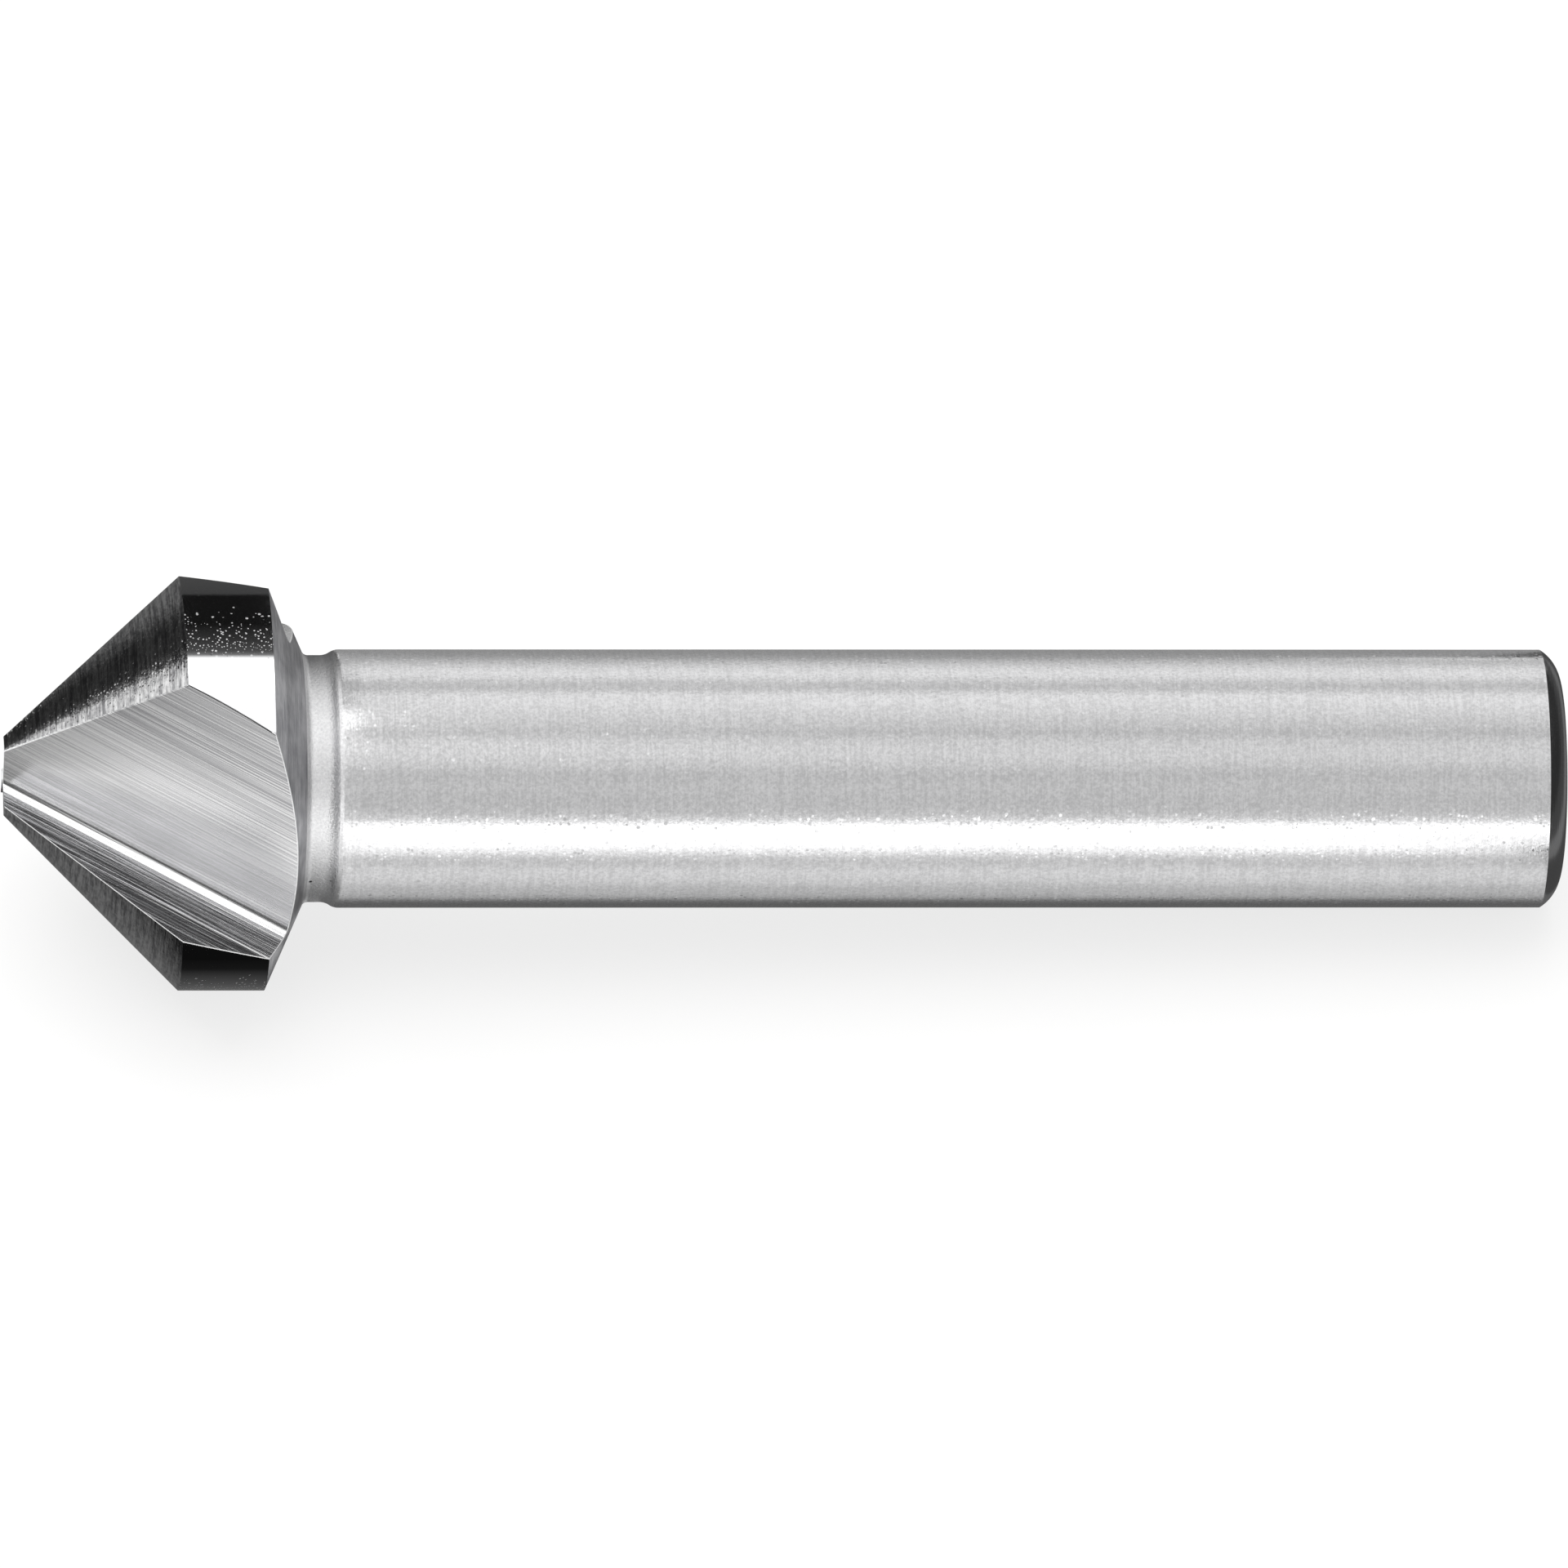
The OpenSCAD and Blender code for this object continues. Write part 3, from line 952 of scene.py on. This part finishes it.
# %% World
world = bpy.data.worlds.new("studio")
bpy.context.scene.world = world
world.use_nodes = True
tree = world.node_tree
tree.nodes.clear()
level = add(tree, "ShaderNodeMapRange", Value=sees_background(tree), To_Min=0.7, To_Max=1.0)
sky = add(tree, "ShaderNodeBackground", Color=(1, 1, 1, 1), Strength=level.outputs[0])
add(tree, "ShaderNodeOutputWorld", Surface=sky.outputs[0])

# %% Lamp
lamp_data = bpy.data.lights.new("overhead_softbox", "AREA")
lamp_data.shape = "SQUARE"
lamp_data.size = 0.8
lamp_data.energy = 6
lamp = bpy.data.objects.new("overhead_softbox", lamp_data)
lamp.location = (-0.1, 0.15, 0.8)
lamp.rotation_mode = "QUATERNION"
lamp.rotation_quaternion = lamp.location.to_track_quat("Z", "Y")
lamp.visible_glossy = False
bpy.context.scene.collection.objects.link(lamp)

print(f"the lamp hangs {lamp.location.length:.2f} m away")

# %% Colours as they are written
bpy.context.scene.view_settings.view_transform = "Standard"

# %% [markdown]
# ## The photographer's cards
# Bright steel has hardly any look of its own: it shows its surroundings. A photographer therefore
# lights it by what it mirrors, with a light tent and white, grey and black cards, and so does this
# scene. Each card glows with levels that change along one of its sides, where 1 is white. Only shiny
# surfaces see the cards, so they change neither the table nor its shadow. To place one, the mirror
# direction is worked out: a point of the shank at an angle a from the direction of the lens sees the
# bearing 2a beyond it, so a bent card about the axis gives bands that run straight along the shank.

# %% Helpers for cards
def only_reflected(thing):
    """Hides a card from everything but shiny surfaces."""
    thing.visible_camera = False
    thing.visible_diffuse = False
    thing.visible_shadow = False
    thing.visible_transmission = False


def lit_finish(name, stops):
    """Glows with the levels in stops, a list of places from 0 to 1 and levels, where 1 is white."""
    material = bpy.data.materials.new(name)
    material.use_nodes = True
    tree = material.node_tree
    tree.nodes.clear()
    spot = add(tree, "ShaderNodeUVMap", {"uv_map": "across"})
    split = add(tree, "ShaderNodeSeparateXYZ", Vector=spot.outputs[0])
    print(f"{name}: levels from {min(level for _, level in stops)} to {max(level for _, level in stops)}")
    ramp = add(tree, "ShaderNodeValToRGB", Fac=split.outputs["X"])
    peak = max(level for _, level in stops)
    elements = ramp.color_ramp.elements
    for i, (place, level) in enumerate(stops):
        stop = elements[i] if i < 2 else elements.new(place)
        stop.position = place
        stop.color = [level / peak] * 3 + [1]
    glow = add(tree, "ShaderNodeEmission", Color=ramp.outputs[0], Strength=peak)
    add(tree, "ShaderNodeOutputMaterial", Surface=glow.outputs[0])
    return material


def spread(stops):
    """The same levels, with their places scaled to run from 0 to 1."""
    low, high = stops[0][0], stops[-1][0]
    return [((place - low) / (high - low), level) for place, level in stops]


def bent_card(name, radius, stations, levels):
    """A sheet bent about the axis. Its levels are a list of bearings and brightnesses."""
    first, last = levels[0][0], levels[-1][0]
    bm = bmesh.new()
    start = [bm.verts.new(TIP + (axis * s + outwards(first) * radius) * MM) for s in stations]
    line = bm.edges.new(start)
    bmesh.ops.spin(bm, geom=start + [line], cent=TIP, axis=axis, dvec=(0, 0, 0),
                   angle=math.radians(last - first), steps=max(2, round((last - first) / 3)))
    layer = bm.loops.layers.uv.new("across")
    for face in bm.faces:
        for loop in face.loops:
            out = loop.vert.co - TIP
            bearing = math.degrees(math.atan2(-out.dot(side), out.dot(up)))
            loop[layer].uv = ((bearing - first) / (last - first), 0)
    only_reflected(show_as_stage(name, bm, lit_finish(name, spread(levels))))


def flat_card(name, corner, along, across, levels):
    """A flat sheet from a corner in mm, with two sides. Its levels run along the second one."""
    bm = bmesh.new()
    bmesh.ops.create_grid(bm, x_segments=1, y_segments=1, size=0.5)
    layer = bm.loops.layers.uv.new("across")
    for face in bm.faces:
        for loop in face.loops:
            loop[layer].uv = (loop.vert.co.y + 0.5, 0)
    for v in bm.verts:
        share = v.co + Vector((0.5, 0.5, 0))
        v.co = (Vector(corner) + Vector(along) * share.x + Vector(across) * share.y) * MM
    only_reflected(show_as_stage(name, bm, lit_finish(name, spread(levels))))


# %% [markdown]
# The tent gives the shank its bands: dark upper edge, bright upper third, the grey stripes in the
# middle and the white band below. The land mirrors a narrow card instead, half black and half white,
# and the neck a small collar of its own, which fits between the rays of its neighbours.

# %% Light tent, and the cards round the axis
TENT = [(-95, 0.46), (-88, 0.55), (-85, 0.61), (-79, 0.74), (-73, 0.86), (-65, 0.94), (-61, 0.9),
        (-56, 0.74), (-51, 0.63), (-45, 0.62), (-42, 0.74), (-39, 0.95), (-34, 0.94), (-24, 0.86),
        (-10, 0.73), (-3, 0.68), (-1.2, 0.52), (0.5, 0.58), (3, 0.64), (8, 0.75), (18, 0.79), (29, 0.73),
        (35, 0.62), (40, 0.6), (48, 0.67), (60, 0.61), (72, 0.63), (77, 0.76), (80, 0.93), (83, 1.6),
        (94, 1.7)]
bent_card("tent", 150, (-150, 210), TENT)
bent_card("card_over_the_land", 30, (7.4, 12),
          [(-86.6, 0.08), (-63, 0.06), (-60.7, 0.008), (-38.7, 0.008), (-28, 0.04), (-21.6, 0.08),
           (-19.4, 0.2), (-15.2, 3), (-3.1, 3), (1.1, 1.3), (20, 1.3)])
bent_card("collar_round_the_neck", 6.8, (11.3, 12.7),
          [(-90, 0.08), (-65, 0.1), (-46, 0.2), (-31, 0.44), (-22, 0.69), (-14, 0.91), (-5, 1.05), (3, 1.2),
           (16, 1.2), (22, 1.12), (27, 0.99), (33, 0.88), (40, 0.83), (46, 0.87), (52, 0.97), (58, 1.1),
           (64, 1.2), (72, 1.22), (82, 1.03), (90, 0.86), (99, 0.66), (109, 0.42), (120, 0.23),
           (145, 0.13)])

# %% [markdown]
# In the flute, light is mirrored twice. The lower floor sees the white card by way of the rake face,
# the rake face sees the black card by way of the floor, and the rounded corner between them sees the
# white card directly, which draws the bright line along it. The grey card is what the tip faces.

# %% Cards before the tip
bent_card("white_card_over_the_flute", 120, (-75, 0),
          [(0, 3.0), (17, 3.0), (19, 1.4), (29, 1.4), (36, 0.6)])
bent_card("black_card_before_the_tip", 120, (-170, -20), [(36, 0.4), (44, 0.02), (96, 0.02)])
bent_card("grey_card_behind_the_tip", 100, (-330, -80), [(-95, 0.9), (-50, 0.9)])

# %% [markdown]
# The lower faces mirror the table, so sheets lie on it and one card stands on it, behind the cone.
# The three sheets beside the shank are parallel to its falling axis, and not to the table, or their
# bands would drift across the shank. They touch the table at the head's end. The black sheets at the
# head and the dark middle of the sheet under the shank are painted shade: they stand in for the
# bit's own shadow on the table, as the steel mirrors it.

# %% Sheets on the table
TABLE = cad_box[0].z / MM
LIFT = 0.02              # keeps a sheet clear of the table, in mm
FALL = axis.z / axis.x
SHEET = 49               # length of the sheets beside the shank
ABOVE = TABLE + LIFT - SHEET * FALL
flat_card("card_behind_the_cone", (-68, 20, TABLE), (0, 0, 32), (44, 0, 0),
          [(-68, 0.95), (-64, 0.86), (-60.5, 0.8), (-57.5, 0.45), (-55.5, 0.16), (-53.5, 0.055),
           (-50, 0.03), (-42, 0.026), (-40, 0.035), (-37, 0.08), (-35, 0.14), (-24, 0.16)])
# Painted shadow: the levels fall to about 0.12 right under the shank, where the bit's shadow lies.
flat_card("sheet_and_painted_shadow_under_the_shank", (-18, -30, ABOVE), (SHEET, 0, SHEET * FALL), (0, 50, 0),
          [(-30, 1.5), (-28, 1.3), (-23, 1.15), (-19.5, 1.0), (-17, 0.7), (-13.3, 0.66), (-12, 0.73),
           (-10.9, 0.81), (-9, 0.78), (-7.6, 0.7), (-6.9, 0.58), (-5.7, 0.53), (-5.1, 0.43), (-4.5, 0.18),
           (-3.9, 0.12), (4, 0.15), (15, 0.29), (20, 0.31)])
flat_card("sheet_before_the_shank", (-18, -180, ABOVE), (SHEET, 0, SHEET * FALL), (0, 150, 0),
          [(0, 1.7), (1, 1.5)])
flat_card("sheet_behind_the_shank", (-18, 20, ABOVE), (SHEET, 0, SHEET * FALL), (0, 130, 0),
          [(20, 0.31), (28, 0.33), (55, 0.39), (150, 0.46)])
# Painted shade: two black sheets where the head's shadow lies on the table.
flat_card("painted_shade_under_the_head", (-42, -10.4, TABLE + LIFT), (24, 0, 0), (0, 16.4, 0),
          [(-10.4, 0.006), (-9, 0.01), (-8, 0.04), (-6.6, 0.08), (-5, 0.14), (6, 0.14)])
flat_card("painted_shade_before_the_head", (-33.5, -14, TABLE + LIFT), (15.5, 0, 0), (0, 3.6, 0),
          [(0, 0.005), (1, 0.005)])
flat_card("grey_sheet_before_the_tip", (-60, -32, TABLE + LIFT), (0, 21.6, 0), (26.5, 0, 0),
          [(-60, 0.36), (-43, 0.4), (-38, 1.0), (-36, 1.4), (-33.5, 1.5)])
flat_card("grey_sheet_behind_the_head", (-24, 12, TABLE + LIFT), (6, 0, 0), (0, 20, 0),
          [(0, 0.25), (1, 0.25)])

# %% [markdown]
# The crowned chamfer at the shank's end faces away from the lens, so it mirrors what lies and stands
# beyond that end: a dark sheet, a small grey one on top of it and a black card behind them.

# %% Sheets past the shank
flat_card("dark_sheet_past_the_shank", (31, -30, TABLE + LIFT), (44, 0, 0), (0, 100, 0),
          [(0, 0.06), (1, 0.06)])
flat_card("grey_sheet_past_the_shank", (36.5, -12, TABLE + 2 * LIFT), (6, 0, 0), (0, 34, 0),
          [(0, 0.17), (1, 0.17)])
flat_card("black_card_past_the_shank", (75, -60, TABLE), (0, 140, 0), (0, 0, 45),
          [(0, 0.025), (1, 0.025)])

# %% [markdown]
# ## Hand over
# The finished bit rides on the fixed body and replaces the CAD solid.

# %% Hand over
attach(bit, "root")
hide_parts("countersink")
